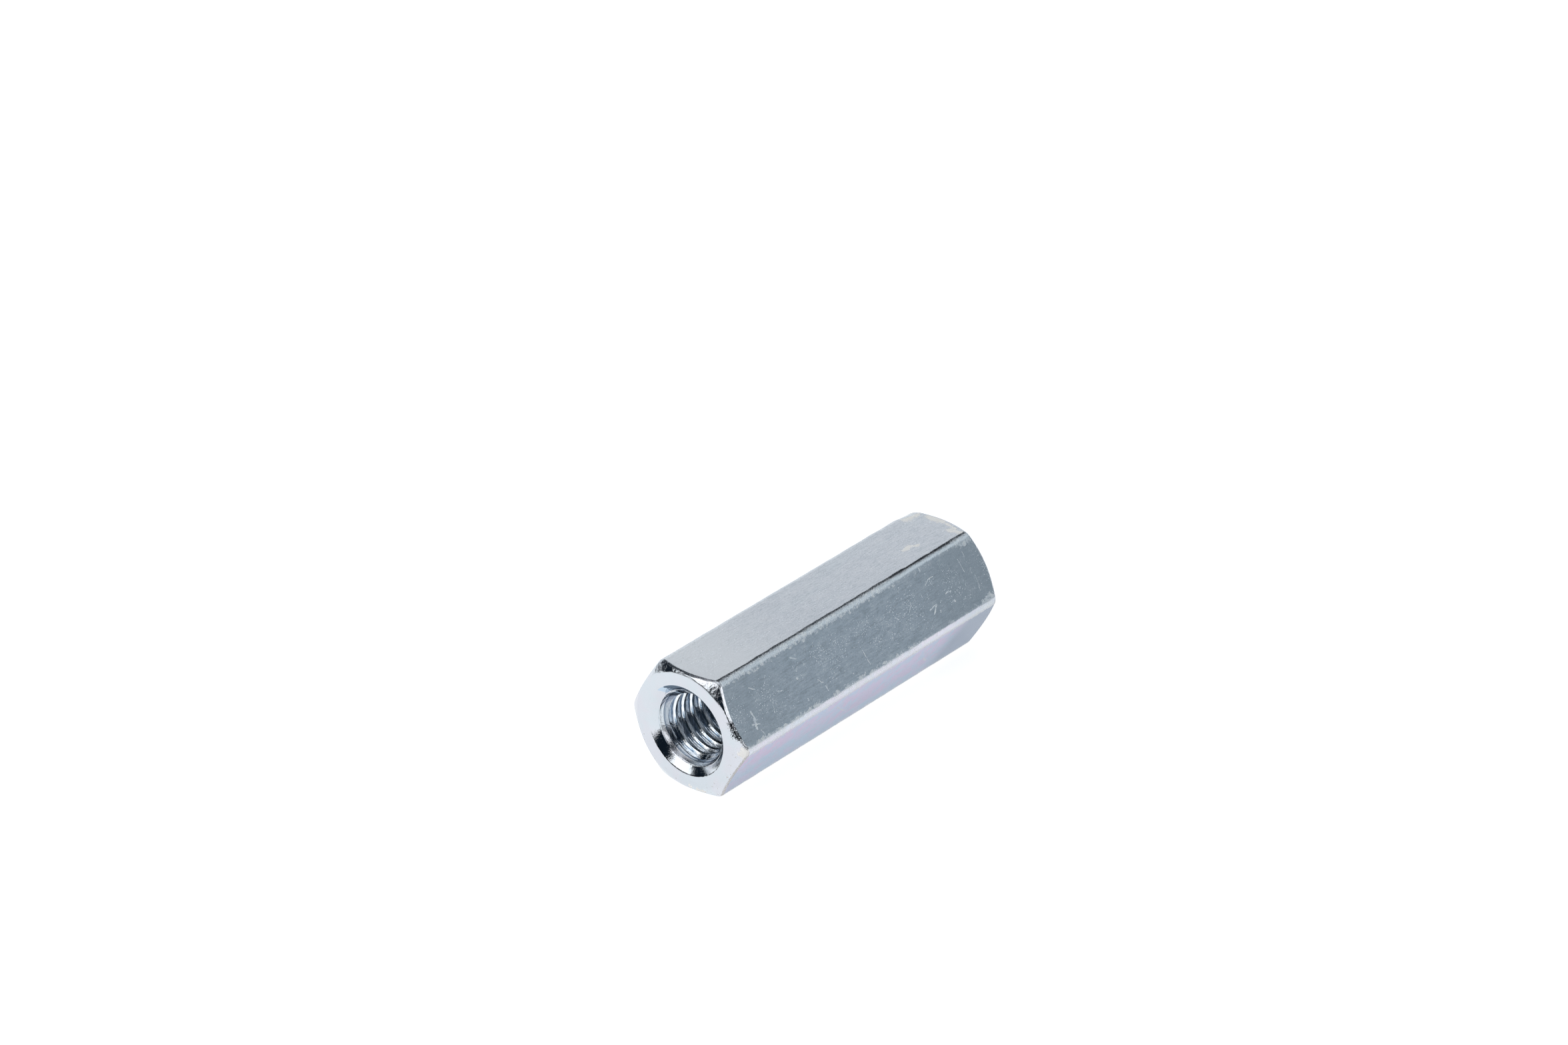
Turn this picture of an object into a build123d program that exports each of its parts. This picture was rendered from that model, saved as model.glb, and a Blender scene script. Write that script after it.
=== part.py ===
from build123d import *
from math import radians, sqrt, tan
import os

# A coupling nut: a length of bright drawn hexagon steel, bored and tapped from end to end.
# It lies on one of its flats. Lengths are in millimetres and angles in degrees.
# X runs along the thread, Z is up, and the origin is the middle of the bore.

# The hexagon bar, whose long edges come from the drawing die a little rounded.
across_flats = 13.0
nut_length = 40.0
bar_edge_radius = 0.8

# The metric thread. Its other diameters follow from these two.
thread_diameter = 8.0
thread_pitch = 1.25

# The turned ends: a flat ring that bears on its neighbour, and a cone that takes the hexagon's
# corners off. The ring stops this far inside the flats, and the cone leans from the end face.
ring_inset = 0.3
corner_chamfer_angle = 33.0

# The countersink leads a screw into the thread. Its mouth clears the thread by this much all round.
countersink_lip = 0.75
countersink_angle = 90.0

# Sizes that follow from the ones above.
half_length = nut_length / 2
corner_radius = across_flats / sqrt(3)
ring_radius = across_flats / 2 - ring_inset
corner_chamfer_depth = (corner_radius - ring_radius) * tan(radians(corner_chamfer_angle))
thread_height = thread_pitch * sqrt(3) / 2
bore_radius = thread_diameter / 2 - thread_height * 5 / 8
countersink_radius = thread_diameter / 2 + countersink_lip
countersink_depth = (countersink_radius - bore_radius) / tan(radians(countersink_angle / 2))


def hexagon_bar():
    """The plain bar between its sawn ends, with one flat down and one flat up."""
    section = Plane.YZ * RegularPolygon(across_flats / 2, 6, major_radius=False)
    section = fillet(section.vertices(), bar_edge_radius)
    return extrude(section, half_length, both=True)


def turned_envelope():
    """The barrel that the lathe leaves: a cylinder round the corners, coned down to each ring."""
    outline = Polyline(
        (-half_length, 0),
        (-half_length, ring_radius),
        (-half_length + corner_chamfer_depth, corner_radius),
        (half_length - corner_chamfer_depth, corner_radius),
        (half_length, ring_radius),
        (half_length, 0),
        close=True,
    )
    return revolve(make_face(outline), Axis.X)


def bore_and_countersinks():
    """The tapping bore, opened by a cone at each end."""
    outline = Polyline(
        (-half_length, 0),
        (-half_length, countersink_radius),
        (-half_length + countersink_depth, bore_radius),
        (half_length - countersink_depth, bore_radius),
        (half_length, countersink_radius),
        (half_length, 0),
        close=True,
    )
    return revolve(make_face(outline), Axis.X)


def coupling_nut():
    """The finished nut, in the order in which it is made: turned ends first, then the bore."""
    turned = hexagon_bar() & turned_envelope()
    return turned - bore_and_countersinks()


os.makedirs("parts", exist_ok=True)
nut = coupling_nut()
nut.label = "coupling_nut"
export_step(nut, "parts/coupling_nut.step")
print("length and width", nut.bounding_box().size)
print("bore radius", round(bore_radius, 4), "wall length", round(nut_length - 2 * countersink_depth, 3))
print("volume in cubic millimetres", round(nut.volume, 1))
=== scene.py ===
# %% [markdown]
# # A zinc-plated coupling nut
#
# This nut is one piece of steel: a hexagon bar, sawn to length, turned and countersunk at both
# ends, tapped from end to end, and plated with bright zinc. The scene makes it much as a workshop
# would, because each step leaves the edges that make the next one look right. Only the
# countersinks come last here, because a cone that is cut through a finished thread lets the first
# turn run out cleanly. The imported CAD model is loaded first. It is the frame: every size below is
# taken from it or is set beside it, and the finished piece stands in its place.

# %% Load the frame
import math

import bmesh
import bpy
from mathutils import Matrix, Vector, noise


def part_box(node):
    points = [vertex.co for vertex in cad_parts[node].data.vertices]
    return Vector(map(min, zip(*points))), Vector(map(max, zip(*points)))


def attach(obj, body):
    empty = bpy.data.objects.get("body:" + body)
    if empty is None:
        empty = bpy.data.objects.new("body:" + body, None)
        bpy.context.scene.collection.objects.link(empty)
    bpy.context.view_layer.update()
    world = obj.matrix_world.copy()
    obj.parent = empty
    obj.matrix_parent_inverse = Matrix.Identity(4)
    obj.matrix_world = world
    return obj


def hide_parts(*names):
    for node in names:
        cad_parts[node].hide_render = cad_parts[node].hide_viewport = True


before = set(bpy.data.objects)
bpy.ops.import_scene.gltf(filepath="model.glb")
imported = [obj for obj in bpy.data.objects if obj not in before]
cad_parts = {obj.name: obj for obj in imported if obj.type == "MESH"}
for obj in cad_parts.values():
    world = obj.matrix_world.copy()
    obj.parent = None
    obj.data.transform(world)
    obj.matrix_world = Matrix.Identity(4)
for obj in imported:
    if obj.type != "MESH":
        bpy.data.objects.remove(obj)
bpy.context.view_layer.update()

MM = 0.001
node_low, node_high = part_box("coupling_nut")
half_length = (node_high.x - node_low.x) / 2
half_flats = (node_high.z - node_low.z) / 2
length_seen, width_seen = round(2 * half_length / MM, 3), round(2 * half_flats / MM, 3)
print("length", length_seen, "mm, across flats", width_seen, "mm")

# %% [markdown]
# ## The camera
#
# The photograph was taken with a long lens from a little over half a metre, so the far end is
# almost as large as the near one. The camera is stated the way a photographer would say it:
# which way round the nut it stands, how far it looks down, and where the nut's middle lies in
# front of it. The lens is worked out from the width of the sensor.

# %% Place the camera
IMAGE_WIDTH = 2352
FOCAL_PIXELS = 9035.289
SENSOR_WIDTH = 36.0
NEAREST_SEEN = 20 * MM
NUT_TURN = math.radians(49.63)
LOOK_DOWN = math.radians(29.05)
CAMERA_ROLL = math.radians(-0.539)
NUT_RIGHT, NUT_BELOW, NUT_AWAY = 3.328 * MM, 12.735 * MM, 597.089 * MM

photo_right = Vector((math.cos(NUT_TURN), -math.sin(NUT_TURN), 0))
photo_behind = Vector((math.sin(NUT_TURN), math.cos(NUT_TURN), 0))
upwards = Vector((0, 0, 1))
ahead = photo_behind * math.cos(LOOK_DOWN) - upwards * math.sin(LOOK_DOWN)
level_down = ahead.cross(photo_right)
right = photo_right * math.cos(CAMERA_ROLL) - level_down * math.sin(CAMERA_ROLL)
down = photo_right * math.sin(CAMERA_ROLL) + level_down * math.cos(CAMERA_ROLL)

camera_data = bpy.data.cameras.new("camera")
camera_data.sensor_width = SENSOR_WIDTH
camera_data.sensor_fit = "HORIZONTAL"
camera_data.lens = FOCAL_PIXELS / IMAGE_WIDTH * SENSOR_WIDTH
camera_data.clip_start = NEAREST_SEEN
camera = bpy.data.objects.new("camera", camera_data)
bpy.context.scene.collection.objects.link(camera)
camera_turn = Matrix((right, -down, -ahead)).transposed().to_4x4()
camera_place = -(right * NUT_RIGHT + down * NUT_BELOW + ahead * NUT_AWAY)
camera.matrix_world = Matrix.Translation(camera_place) @ camera_turn
bpy.context.scene.camera = camera
print("lens", round(camera_data.lens, 2), "mm, camera at", [round(v, 4) for v in camera_place])

# %% [markdown]
# ## Shapes as workshop operations
#
# A few small helpers do what a saw, a lathe and a drill do. One turns a bmesh into an object, one
# draws an outline, one turns an outline about the nut's axis, and one joins two closed shapes
# with a Boolean. A Boolean keeps the true curves where a cone meets a flat, which are hyperbolas
# and would be hard to place by hand. It also carries each tool's material to the surface that the
# tool cuts, so the three finishes of the nut sort themselves out.

# %% Helpers that make a closed shape
WELD = 0.0005 * MM
finishes = {
    name: bpy.data.materials.new(name)
    for name in ("zinc_on_drawn_flats", "zinc_on_turned_ends", "zinc_in_the_thread")
}


def finished_mesh(name, bm, finish):
    """Closes the bmesh's doubles, turns its faces outwards and makes it an object."""
    bmesh.ops.remove_doubles(bm, verts=bm.verts, dist=WELD)
    bmesh.ops.recalc_face_normals(bm, faces=bm.faces)
    mesh = bpy.data.meshes.new(name)
    bm.to_mesh(mesh)
    bm.free()
    mesh.materials.append(finishes[finish])
    made = bpy.data.objects.new(name, mesh)
    bpy.context.scene.collection.objects.link(made)
    print(name, len(mesh.vertices), "points,", len(mesh.polygons), "faces")
    return made


def verts_of(geometry):
    """The points among the parts that an operator returns."""
    return [item for item in geometry if isinstance(item, bmesh.types.BMVert)]


print("finishes", ", ".join(finishes))

# %% Helpers for the lathe and the Boolean


def outline(bm, corners, segments=4):
    """Edges through corners given as (along the nut, out from its axis, rounding), in mm."""
    verts = [bm.verts.new((along * MM, out * MM, 0)) for along, out, rounding in corners]
    for first, second in zip(verts, verts[1:]):
        bm.edges.new((first, second))
    for vert, (along, out, rounding) in zip(verts, corners):
        if rounding:
            bmesh.ops.bevel(
                bm, geom=[vert], offset=rounding * MM, segments=segments,
                profile=0.5, affect="VERTICES", material=-1,
            )


def turned(name, corners, finish, steps):
    """An outline from axis to axis, turned once round the nut's axis."""
    bm = bmesh.new()
    outline(bm, corners)
    bmesh.ops.spin(
        bm, geom=bm.verts[:] + bm.edges[:], cent=(0, 0, 0), axis=(1, 0, 0),
        dvec=(0, 0, 0), angle=2 * math.pi, steps=steps, use_merge=True,
    )
    return finished_mesh(name, bm, finish)


def combine(piece, tool, operation):
    """Joins a closed tool to a closed piece with a Boolean, and puts the tool away."""
    step = piece.modifiers.new("combine", "BOOLEAN")
    step.operation = operation
    step.solver = "EXACT"
    step.material_mode = "TRANSFER"
    step.object = tool
    evaluated = piece.evaluated_get(bpy.context.evaluated_depsgraph_get())
    mesh = bpy.data.meshes.new_from_object(evaluated)
    piece.modifiers.clear()
    piece.data = mesh
    bpy.data.objects.remove(tool)
    print(operation.lower(), "leaves", len(mesh.polygons), "faces")


print("lathe and Boolean ready")

# %% [markdown]
# ## The bar
#
# Bright hexagon bar is pulled through a die, which leaves six flats and six long edges that are
# a little rounded. It starts as a circle of six points, which is pulled out to a prism, and its
# long edges are bevelled. The bar is a little too long, as a sawn one is, and the lathe faces it.

# %% Make the hexagon bar
EDGE_RADIUS = 0.8 * MM
EDGE_SEGMENTS = 8
SAWN_SPARE = 1 * MM
corner_radius = half_flats / math.cos(math.pi / 6)

bm = bmesh.new()
bmesh.ops.create_circle(bm, cap_ends=True, segments=6, radius=corner_radius)
bmesh.ops.rotate(bm, verts=bm.verts, matrix=Matrix.Rotation(math.pi / 2, 3, "Y"))
bmesh.ops.translate(bm, verts=bm.verts, vec=(-half_length - SAWN_SPARE, 0, 0))
pulled = bmesh.ops.extrude_face_region(bm, geom=bm.faces[:])["geom"]
bmesh.ops.translate(bm, verts=verts_of(pulled), vec=(2 * half_length + 2 * SAWN_SPARE, 0, 0))
long_edges = [edge for edge in bm.edges if abs(edge.verts[0].co.x - edge.verts[1].co.x) > MM]
bmesh.ops.bevel(
    bm, geom=long_edges, offset=EDGE_RADIUS * math.tan(math.pi / 6), offset_type="OFFSET",
    segments=EDGE_SEGMENTS, profile=0.5, affect="EDGES", material=-1, clamp_overlap=False,
)
print("bar with", len(bm.faces), "faces, edges rounded to", EDGE_RADIUS / MM, "mm")

# %% [markdown]
# ## Long edges that aren't even
#
# A real die leaves an edge that isn't even. The rounding is cut into short lengths, and each is
# spread away from its corner by a smooth noise. The flats stay flat, because a point on the
# border only moves within its own flat. Seen from the axis, the rounding takes a share of the
# sixth of a turn between two edges, and a point's place within that share blends the noises of
# its two sides. One long edge is worn blunter over its last two millimetres at the far end, where
# the photograph shows a knocked corner.

# %% Spread the rounding unevenly
BAR_CUTS = 220
PLAIN_FROM = 18.6 * MM
WAVE_LENGTH, RIPPLE_LENGTH = 1.7 * MM, 0.45 * MM
ROUNDING_SHARE = 0.118
MOST_SPREAD = 0.3
WORN_EDGE, WORN_FROM, WORN_SPREAD = 1, 16.6 * MM, 1.5


def wavy(along, edge, side):
    """A smooth random value from 0 to 1 along one side of one long edge. The factors give each
    side of each edge its own part of the noise."""
    coarse = noise.noise(Vector((along / WAVE_LENGTH, 7.3 * edge, 3.1 * side)))
    fine = noise.noise(Vector((along / RIPPLE_LENGTH, 5.9 * edge, 11.7 * side)))
    return min(1, max(0, 0.5 + 0.8 * coarse + 0.5 * fine))


for side in (-1, 1):
    bmesh.ops.bisect_plane(
        bm, geom=bm.verts[:] + bm.edges[:] + bm.faces[:],
        plane_co=(side * PLAIN_FROM, 0, 0), plane_no=(1, 0, 0),
    )
long_edges = [edge for edge in bm.edges if edge.calc_length() > PLAIN_FROM]
bmesh.ops.subdivide_edges(bm, edges=long_edges, cuts=BAR_CUTS, use_grid_fill=True)
for vert in bm.verts:
    angle = math.atan2(vert.co.z, vert.co.y)
    edge_number = round(angle / (math.pi / 3))
    corner = Vector((
        vert.co.x,
        corner_radius * math.cos(edge_number * math.pi / 3),
        corner_radius * math.sin(edge_number * math.pi / 3),
    ))
    share = 0.5 + (angle / (math.pi / 3) - edge_number) / ROUNDING_SHARE
    share = min(1, max(0, share))
    spread = (1 - share) * wavy(vert.co.x, edge_number % 6, 0)
    spread += share * wavy(vert.co.x, edge_number % 6, 1)
    worn = (vert.co.x - WORN_FROM) / (PLAIN_FROM - WORN_FROM)
    worn = min(1, max(0, worn)) * (edge_number == WORN_EDGE)
    vert.co = corner + (vert.co - corner) * (1 + MOST_SPREAD * spread + WORN_SPREAD * worn)
nut = finished_mesh("nut", bm, "zinc_on_drawn_flats")

# %% [markdown]
# ## The turned ends
#
# Each end is faced and then coned on a lathe, which takes the hexagon's six corners off and
# leaves a flat ring. The lathe's shape is one outline turned about the axis: ring, small round,
# cone, and a wide cylinder that touches nothing. Keeping only what is inside both shapes leaves
# the six curved crossings.

# %% Turn both ends
RING_RADIUS = 6.2
RING_ROUND = 0.13
CHAMFER_ANGLE = math.radians(33)
BARREL_SPARE = 0.4
BARREL_STEPS = 192
barrel_radius = corner_radius / MM + BARREL_SPARE
cone_depth = (barrel_radius - RING_RADIUS) * math.tan(CHAMFER_ANGLE)
length_mm = half_length / MM

barrel = turned("barrel", [
    (-length_mm, 0, 0),
    (-length_mm, RING_RADIUS, RING_ROUND),
    (-length_mm + cone_depth, barrel_radius, 0),
    (length_mm - cone_depth, barrel_radius, 0),
    (length_mm, RING_RADIUS, RING_ROUND),
    (length_mm, 0, 0),
], "zinc_on_turned_ends", steps=BARREL_STEPS)
combine(nut, barrel, "INTERSECT")

# %% [markdown]
# ## Softened crossings
#
# Plating softens the edge where a cone meets a flat, so the crossings get a narrow bevel. The
# Boolean leaves some very short edges on them, which are welded first, because a bevel can't pass
# them evenly. The points go to the weld as a list in the mesh's own order, because a Python set
# would mix them differently on each run, and the weld keeps the first point of each pair. A bevel
# may also lift a point a few thousandths of a millimetre off its flat, so every point that stands
# out is pressed back to the flat's plane.

# %% Soften the crossings of cone and flats
CROSSING_WELD = 0.02 * MM
CROSSING_ROUND = 0.24 * MM
CROSSING_SEGMENTS = 5
TURNED_SLOT = 1

bm = bmesh.new()
bm.from_mesh(nut.data)


def is_crossing(edge):
    """Whether the edge parts a turned face from a drawn one."""
    kinds = {face.material_index for face in edge.link_faces}
    return len(kinds) == 2


rim_verts = [vert for vert in bm.verts if any(is_crossing(edge) for edge in vert.link_edges)]
bmesh.ops.remove_doubles(bm, verts=rim_verts, dist=CROSSING_WELD)
crossings = [edge for edge in bm.edges if is_crossing(edge)]
bmesh.ops.bevel(
    bm, geom=crossings, offset=CROSSING_ROUND, offset_type="OFFSET", segments=CROSSING_SEGMENTS,
    profile=0.5, affect="EDGES", material=TURNED_SLOT, clamp_overlap=False,
)
flat_directions = [
    Vector((0, math.sin(flat * math.pi / 3), math.cos(flat * math.pi / 3))) for flat in range(6)
]
for vert in bm.verts:
    for direction in flat_directions:
        too_far = vert.co.dot(direction) - half_flats
        if too_far > 0:
            vert.co -= direction * too_far
bm.to_mesh(nut.data)
bm.free()
print("softened", len(crossings), "short edges")

# %% [markdown]
# ## The thread
#
# The thread is right-handed, of 8 mm nominal diameter, and moves on by 1.25 mm a turn. Its flanks
# are straight near the crests, and the plate has filled the roots to a round. A tap leaves
# the shape of a screw, so the cutting tool here is a screw: the outline of one groove is spun
# once round the axis while it moves along by one pitch, and that turn is copied along the nut.
# Neighbouring turns share their borders, and welding them gives one long closed tube. Its two
# ends are drawn together on the axis, well outside the nut. The groove's corners are given as
# the distance aside from its middle, the distance from the axis and the rounding, in mm.

# %% Draw one groove of the thread
THREAD_DIAMETER = 8.0
ROOT_RADIUS = 3.92
PITCH = 1.25
LEAD_IN = 0.66
FLANK = math.radians(30)
FLANK_END = 0.27
ROOT_SIDE, ROOT_SIDE_RADIUS = 0.13, 3.84
SPARE_TURNS = 3

crest_radius = THREAD_DIAMETER / 2 - PITCH * math.sqrt(3) / 2 * 5 / 8
half_mouth = PITCH / 16 + (THREAD_DIAMETER / 2 - crest_radius) * math.tan(FLANK)
groove = [
    (half_mouth, crest_radius, 0.035),
    (FLANK_END, crest_radius + (half_mouth - FLANK_END) / math.tan(FLANK), 0.04),
    (ROOT_SIDE, ROOT_SIDE_RADIUS, 0.06),
]
first_groove = -length_mm + LEAD_IN - SPARE_TURNS * PITCH

bm = bmesh.new()
outline(bm, [
    (first_groove - PITCH / 2, crest_radius, 0),
    *[(first_groove - aside, out, rounding) for aside, out, rounding in groove],
    (first_groove, ROOT_RADIUS, 0.05),
    *[(first_groove + aside, out, rounding) for aside, out, rounding in reversed(groove)],
    (first_groove + PITCH / 2, crest_radius, 0),
], segments=2)
print("groove of", len(bm.verts), "points, crests at", round(crest_radius, 3), "mm")

# %% Spin it to a screw and cut that out of the nut
TURN_STEPS = 72
TIP_BEYOND = 2
turns = math.ceil(2 * length_mm / PITCH) + 2 * SPARE_TURNS

bmesh.ops.spin(
    bm, geom=bm.verts[:] + bm.edges[:], cent=(0, 0, 0), axis=(1, 0, 0),
    dvec=(PITCH * MM / TURN_STEPS, 0, 0), angle=2 * math.pi, steps=TURN_STEPS,
)
one_turn = bm.verts[:] + bm.edges[:] + bm.faces[:]
for number in range(1, turns):
    copied = bmesh.ops.duplicate(bm, geom=one_turn)["geom"]
    bmesh.ops.translate(bm, verts=verts_of(copied), vec=(number * PITCH * MM, 0, 0))
bmesh.ops.remove_doubles(bm, verts=bm.verts, dist=2 * WELD)
for side in (-1, 1):
    rim = [edge for edge in bm.edges if edge.is_boundary and edge.verts[0].co.x * side > 0]
    drawn = bmesh.ops.extrude_edge_only(bm, edges=rim)["geom"]
    tip = (side * (length_mm + SPARE_TURNS * PITCH + TIP_BEYOND) * MM, 0, 0)
    bmesh.ops.pointmerge(bm, verts=verts_of(drawn), merge_co=tip)
screw = finished_mesh("screw", bm, "zinc_in_the_thread")
combine(nut, screw, "DIFFERENCE")

# %% [markdown]
# ## The countersinks
#
# A countersink opens each end of the thread, so that a screw finds its way in. It is a cone of
# 90 degrees, a little wider than the thread. The tap has pushed up a fine burr where its outer
# diameter meets the cone, and the photograph shows it as a thin ring, so the outline has a small
# step there. Below the burr the cone is steeper for half a millimetre, where the tap's lead has
# opened it. The mouth's sharp edge is broken by a narrow facet.

# %% Cut the countersinks
MOUTH_RADIUS = 4.82
EDGE_BREAK = 0.05
BURR_RADIUS = 4.12
BURR_STEP = 0.035
COLLAR_DEPTH, COLLAR_RADIUS = 1.16, 3.86
TIP_RADIUS = 3
OVERSHOOT, FLARE = 0.2, 0.5
COUNTERSINK_STEPS = 160
burr_depth = MOUTH_RADIUS - BURR_RADIUS
tip_depth = COLLAR_DEPTH + COLLAR_RADIUS - TIP_RADIUS
countersink_outline = [
    (-OVERSHOOT, 0),
    (-OVERSHOOT, MOUTH_RADIUS + FLARE),
    (EDGE_BREAK, MOUTH_RADIUS - EDGE_BREAK),
    (burr_depth, BURR_RADIUS),
    (burr_depth + BURR_STEP, BURR_RADIUS + BURR_STEP),
    (burr_depth + 3 * BURR_STEP, BURR_RADIUS - 2.4 * BURR_STEP),
    (COLLAR_DEPTH, COLLAR_RADIUS),
    (tip_depth, TIP_RADIUS),
    (tip_depth, 0),
]

for side in (-1, 1):
    corners = [(side * (length_mm - depth), out, 0) for depth, out in countersink_outline]
    countersink = turned("countersink", corners, "zinc_on_turned_ends", COUNTERSINK_STEPS)
    combine(nut, countersink, "DIFFERENCE")

# %% [markdown]
# ## Shading the finished mesh
#
# The mesh has large flats beside narrow rounds. Smooth shading would bend the light across a
# whole flat, so edges over 30 degrees are marked sharp, and the Weighted Normal modifier lets the
# larger face decide the direction at every shared point. The piece then takes the CAD node's
# place in the frame.

# %% Shade the nut and set it in the frame
SLIVER = 0.001 * MM
SHARP_ANGLE = math.radians(30)

bm = bmesh.new()
bm.from_mesh(nut.data)
bmesh.ops.dissolve_degenerate(bm, dist=SLIVER, edges=bm.edges)
bm.to_mesh(nut.data)
print("open edges", sum(1 for edge in bm.edges if not edge.is_manifold))
bm.free()
nut.data.shade_smooth()
nut.data.set_sharp_from_angle(angle=SHARP_ANGLE)
weighting = nut.modifiers.new("weighting", "WEIGHTED_NORMAL")
weighting.keep_sharp = True
nut.name = "coupling_nut_body"
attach(nut, "root")
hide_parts("coupling_nut")
print("triangles", sum(len(face.vertices) - 2 for face in nut.data.polygons))

# %% [markdown]
# ## Writing materials as expressions
#
# A procedural material is arithmetic on the place of each point. Wiring Math nodes by hand hides
# that, so a small class wraps a socket and overloads Python's operators: an expression such as
# 1 - mask adds its node. A second class holds the node tree. One of its methods makes any other
# node, and another lays coats of colour over each other, each where its mask is 1.

# %% A class for one socket


class Signal:
    """One output socket, on which arithmetic adds Math nodes."""

    def __init__(self, sheet, socket):
        self.sheet = sheet
        self.socket = socket

    def math(self, operation, first, second=0.0):
        return self.sheet.node("ShaderNodeMath", {"operation": operation}, {0: first, 1: second})

    def __add__(self, other):
        return self.math("ADD", self, other)

    def __radd__(self, other):
        return self.math("ADD", other, self)

    def __sub__(self, other):
        return self.math("SUBTRACT", self, other)

    def __rsub__(self, other):
        return self.math("SUBTRACT", other, self)

    def __neg__(self):
        return self.math("SUBTRACT", 0.0, self)

    def __mul__(self, other):
        return self.math("MULTIPLY", self, other)

    def __rmul__(self, other):
        return self.math("MULTIPLY", other, self)

    def __truediv__(self, other):
        return self.math("DIVIDE", self, other)

    def __pow__(self, other):
        return self.math("POWER", self, other)

    def __abs__(self):
        return self.math("ABSOLUTE", self)

    def at_least(self, other):
        return self.math("MAXIMUM", self, other)

    def at_most(self, other):
        return self.math("MINIMUM", self, other)

    def step(self, low, high):
        """0 below low and 1 above high, with a smooth rise between. It falls if low is higher."""
        values = {"Value": self, "From Min": low, "From Max": high}
        return self.sheet.node("ShaderNodeMapRange", {"interpolation_type": "SMOOTHSTEP"}, values)


def strongest(masks):
    """The largest of several masks at each point."""
    most = masks[0]
    for mask in masks[1:]:
        most = most.at_least(mask)
    return most


print("a socket takes + - * / ** and abs")

# %% A class for a node tree


class Sheet:
    """A node tree that is being filled in."""

    def __init__(self, tree):
        self.tree = tree
        tree.nodes.clear()

    def node(self, kind, settings=None, values=None, output=0):
        """Adds a node, sets it up, then fills its sockets with numbers or links."""
        made = self.tree.nodes.new(kind)
        for name, value in (settings or {}).items():
            setattr(made, name, value)
        for name, value in (values or {}).items():
            if isinstance(value, Signal):
                self.tree.links.new(value.socket, made.inputs[name])
            else:
                made.inputs[name].default_value = value
        return Signal(self, made.outputs[output]) if made.outputs else None

    def vector(self, operation, first, second, output=0):
        """Vector Math on two vectors. Output 1 is the number that some operations give."""
        values = {0: first, 1: second}
        return self.node("ShaderNodeVectorMath", {"operation": operation}, values, output)

    def scaled(self, vector, amount):
        values = {0: vector, "Scale": amount}
        return self.node("ShaderNodeVectorMath", {"operation": "SCALE"}, values)

    def mapped(self, vector, **placing):
        """A vector moved, turned or stretched by the Mapping node's Location, Rotation, Scale."""
        return self.node("ShaderNodeMapping", values={"Vector": vector, **placing})

    def mix(self, factor, first, second):
        """A colour between two colours, each given as red, green and blue or as a signal."""
        colours = [c if isinstance(c, Signal) else (*c, 1) for c in (first, second)]
        values = {0: factor, 6: colours[0], 7: colours[1]}
        return self.node("ShaderNodeMix", {"data_type": "RGBA"}, values, output=2)

    def painted(self, colour, coats):
        """The colour under several coats, each given as (mask, colour), the first one lowest."""
        for mask, paint in coats:
            colour = self.mix(mask, colour, paint)
        return colour

    def parts(self, vector):
        """The three numbers of a vector."""
        split = self.node("ShaderNodeSeparateXYZ", values={0: vector})
        return [Signal(self, socket) for socket in split.socket.node.outputs]

    def joined(self, x, y, z):
        return self.node("ShaderNodeCombineXYZ", values={0: x, 1: y, 2: z})

    def noise(self, vector, scale, detail=2.0, roughness=0.5, distortion=0.0):
        """Smooth noise from about 0.2 to 0.8."""
        values = {
            "Vector": vector, "Scale": scale, "Detail": detail,
            "Roughness": roughness, "Distortion": distortion,
        }
        return self.node("ShaderNodeTexNoise", values=values)

    def wobbled(self, vector, point, scale, amount):
        """A place, moved a little by a noise that differs in each direction."""
        shift = self.node("ShaderNodeTexNoise", values={"Vector": point, "Scale": scale}, output=1)
        shift = self.vector("SUBTRACT", shift, (0.5, 0.5, 0.5))
        return self.vector("ADD", vector, self.scaled(shift, amount))


print("classes ready")

# %% [markdown]
# ## What zinc plate shows
#
# Bright zinc is a pale blue-white metal. A thin passivation film tints it blue, lilac and pink
# where its thickness changes. All three finishes start from the same place: the point in
# millimetres, a slow tint, a metal shader and a bump. What differs is the trace of the tool that
# was there before plating: drawn grain along the bar, rings on the turned ends, and tap marks
# that follow the thread.

# %% The common start and end of the three finishes
PLATE = (0.69, 0.735, 0.77)
PLATE_DARK = (0.54, 0.585, 0.63)
PLATE_LIGHT = (0.84, 0.87, 0.89)
FILM_BLUE = (0.55, 0.70, 0.88)
FILM_LILAC = (0.66, 0.68, 0.88)
FILM_PINK = (0.74, 0.61, 0.84)
DRAWN_OUT = (0.16, 1, 1)


def plate_start(name):
    """The sheet of a finish, the point in mm as a vector, and its three numbers."""
    finish = finishes[name]
    finish.use_nodes = True
    sheet = Sheet(finish.node_tree)
    point = sheet.scaled(sheet.node("ShaderNodeTexCoord", output=3), 1 / MM)
    return sheet, point, sheet.parts(point)


def plate_end(sheet, colour, roughness, height, deposit=0.0):
    """The metal shader. Height is in mm, and a deposit is matt where it is 1."""
    bump = sheet.node("ShaderNodeBump", values={"Strength": 1.0, "Distance": MM, "Height": height})
    bare = 1.0 - deposit
    metal = sheet.node("ShaderNodeBsdfPrincipled", values={
        "Base Color": colour, "Metallic": bare, "Roughness": roughness, "Normal": bump,
    })
    sheet.node("ShaderNodeOutputMaterial", values={"Surface": metal})
    print("nodes", len(sheet.tree.nodes))


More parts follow.
